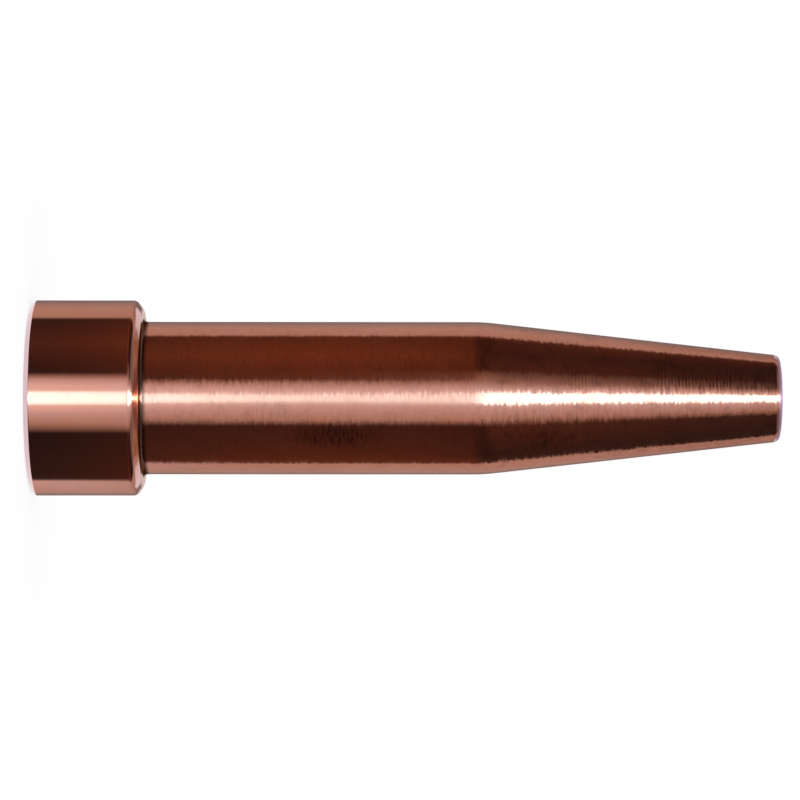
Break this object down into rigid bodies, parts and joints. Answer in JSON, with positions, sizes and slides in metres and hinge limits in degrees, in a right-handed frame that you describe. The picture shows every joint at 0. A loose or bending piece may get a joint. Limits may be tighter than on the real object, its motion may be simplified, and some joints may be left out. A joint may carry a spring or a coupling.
{
  "type": "cutting tip",
  "caption": "One-piece copper oxy-acetylene cutting tip with a flat seat, a collared head, a straight barrel and a long tapered nose.",
  "frame": {"origin": "centre of the flat seat, on the face that closes against the torch head", "axes": "+Z along the tip's axis from the seat to the nose, +X through the middle of one preheat passage"},
  "size_m": [0.0184, 0.0182, 0.07],
  "materials": {
    "copper": "polished"
  },
  "bodies": {
    "root": {"cutting_tip": "copper"}
  },
  "joints": []
}
